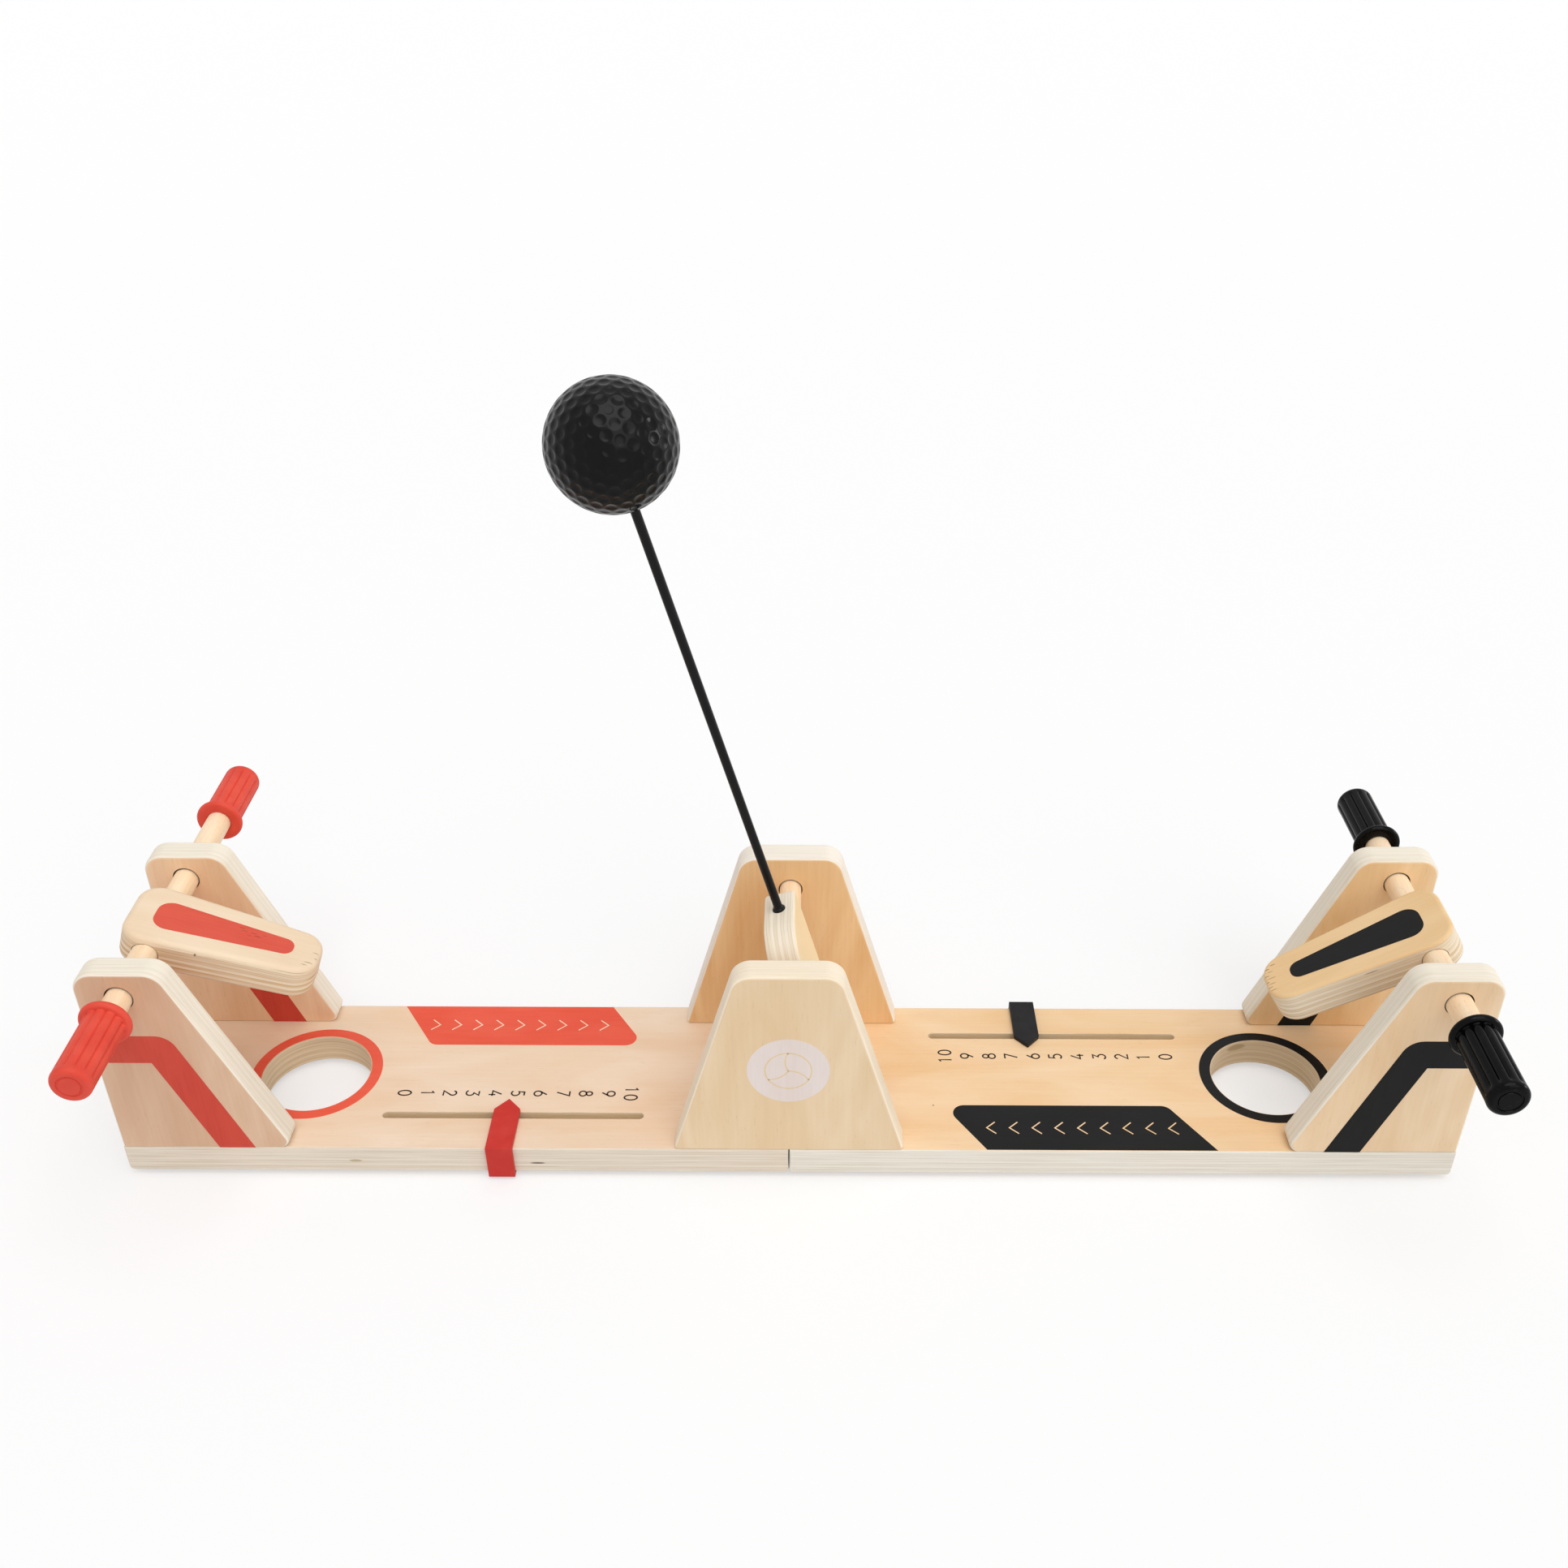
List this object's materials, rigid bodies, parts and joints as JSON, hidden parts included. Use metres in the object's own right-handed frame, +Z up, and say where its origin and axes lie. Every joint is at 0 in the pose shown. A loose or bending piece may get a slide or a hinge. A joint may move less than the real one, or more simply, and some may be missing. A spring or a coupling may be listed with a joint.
{
  "type": "tabletop volleyball game",
  "caption": "Wooden tabletop ball game: a ball on a rod swings between towers over a long plywood court, with a turning, sliding paddle above a goal hole at each end.",
  "frame": {"origin": "on the table, at the middle of the rubber strip under the seam of the court, below the pivot of the arm", "axes": "+X along the court towards the player with the black grips, +Y towards the rear edge of the court, +Z up"},
  "size_m": [0.508, 0.196, 0.2992],
  "materials": {
    "pale_plywood": "pale pinkish birch plywood, clear matt lacquer, pale laminated edges, red print",
    "warm_plywood": "warm birch plywood, clear matt lacquer, pale laminated edges, black print",
    "tower_plywood": "birch plywood, clear matt lacquer, pale laminated edges",
    "beech_dowel": "turned beech dowel, sanded smooth",
    "zinc_screw": "zinc plated steel",
    "foot_rubber": "soft black rubber",
    "black_rod": "satin black paint",
    "black_ball": "satin black, dimpled",
    "red_grip": "soft matt red rubber, ribbed",
    "black_grip": "smooth shiny black rubber, ribbed",
    "red_marker": "moulded red plastic",
    "black_marker": "moulded charcoal plastic"
  },
  "bodies": {
    "court": {"base_left": "pale_plywood", "base_right": "warm_plywood", "seam_dowels": "beech_dowel", "tower_front": "tower_plywood", "tower_rear": "tower_plywood", "tower_screws": "zinc_screw", "bracket_left_front": "pale_plywood", "bracket_left_rear": "pale_plywood", "bracket_right_front": "warm_plywood", "bracket_right_rear": "warm_plywood", "bracket_screws": "zinc_screw", "rubber_feet": "foot_rubber"},
    "swing_arm": {"pivot_axle": "beech_dowel", "swing_block": "pale_plywood", "ball_rod": "black_rod", "ball": "black_ball"},
    "left_handle": {"left_dowel": "beech_dowel"},
    "left_paddle_set": {"left_paddle": "pale_plywood", "left_grip_front": "red_grip", "left_grip_rear": "red_grip"},
    "right_handle": {"right_dowel": "beech_dowel"},
    "right_paddle_set": {"right_paddle": "warm_plywood", "right_grip_front": "black_grip", "right_grip_rear": "black_grip"},
    "left_score": {"left_marker": "red_marker"},
    "right_score": {"right_marker": "black_marker"}
  },
  "joints": [
    {"name": "arm_swing", "type": "hinge", "parent": "court", "child": "swing_arm", "pos_m": [0, 0, 0.0841], "axis": [0, 1, 0], "range_deg": [-68, 101]},
    {"name": "left_handle_slide", "type": "slide", "parent": "court", "child": "left_handle", "axis": [0, 1, 0], "range_m": [-0.0137, 0.0107]},
    {"name": "left_paddle_turn", "type": "hinge", "parent": "left_handle", "child": "left_paddle_set", "pos_m": [-0.2382, 0, 0.088], "axis": [0, 1, 0], "continuous": true},
    {"name": "right_handle_slide", "type": "slide", "parent": "court", "child": "right_handle", "axis": [0, 1, 0], "range_m": [-0.0137, 0.0137]},
    {"name": "right_paddle_turn", "type": "hinge", "parent": "right_handle", "child": "right_paddle_set", "pos_m": [0.2382, 0, 0.088], "axis": [0, -1, 0], "continuous": true},
    {"name": "left_marker_slide", "type": "slide", "parent": "court", "child": "left_score", "axis": [1, 0, 0], "range_m": [-0.0426, 0.0474]},
    {"name": "right_marker_slide", "type": "slide", "parent": "court", "child": "right_score", "axis": [1, 0, 0], "range_m": [-0.0344, 0.0556]}
  ]
}
